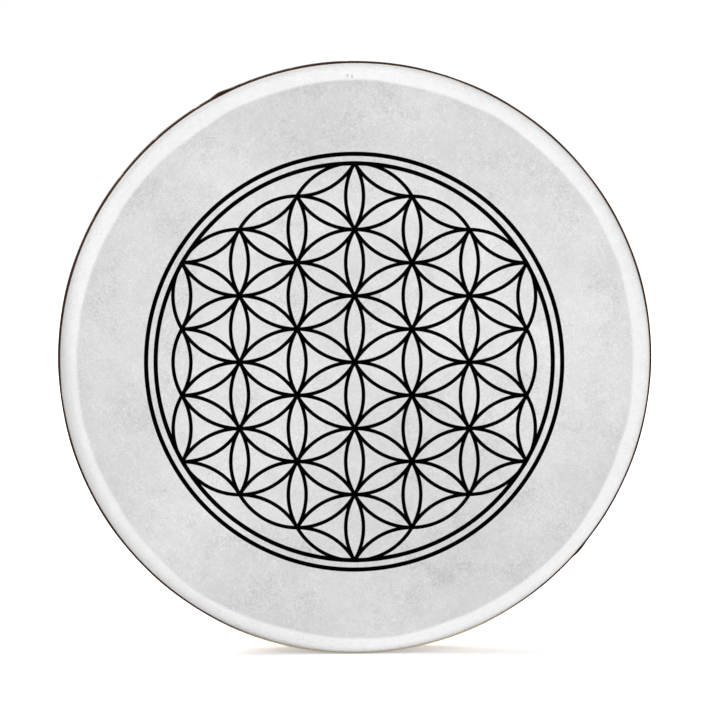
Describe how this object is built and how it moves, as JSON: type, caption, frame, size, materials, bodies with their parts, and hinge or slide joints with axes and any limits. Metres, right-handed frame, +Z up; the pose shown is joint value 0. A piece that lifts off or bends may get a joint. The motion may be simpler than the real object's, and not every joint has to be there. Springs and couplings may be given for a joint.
{
  "type": "shaman drum",
  "caption": "Round hand-held frame drum: a hide head over a bent wooden hoop, a tacked leather trim band, and a covered grip ring held by corded arms at the back.",
  "frame": {"origin": "centre of the grip ring, which the player's hand holds; it lies on the drum's axis", "axes": "+Z up as the drum is held and as the picture shows it, with one arm pointing up; +Y along the drum's axis, from the head to the player; +X to the right as seen from the front"},
  "size_m": [0.4002, 0.0608, 0.4002],
  "materials": {
    "bent_ash": "oiled pale wood",
    "rawhide": "dried scraped hide, matt, with a black printed figure",
    "band_leather": "dark brown leather",
    "tack_brass": "aged brass",
    "ring_steel": "plain steel bar",
    "cover_leather": "brown sewn leather",
    "cotton_cord": "natural laid cord",
    "whipping_twine": "waxed brown twine"
  },
  "bodies": {
    "root": {"frame_hoop": "bent_ash", "drum_head": "rawhide", "trim_band": "band_leather", "band_tacks": "tack_brass", "grip_ring": "ring_steel", "ring_cover": "cover_leather", "arm_cord_top": "cotton_cord", "arm_cord_right": "cotton_cord", "arm_cord_bottom": "cotton_cord", "arm_cord_left": "cotton_cord", "arm_whipping_top": "whipping_twine", "arm_whipping_right": "whipping_twine", "arm_whipping_bottom": "whipping_twine", "arm_whipping_left": "whipping_twine"}
  },
  "joints": []
}
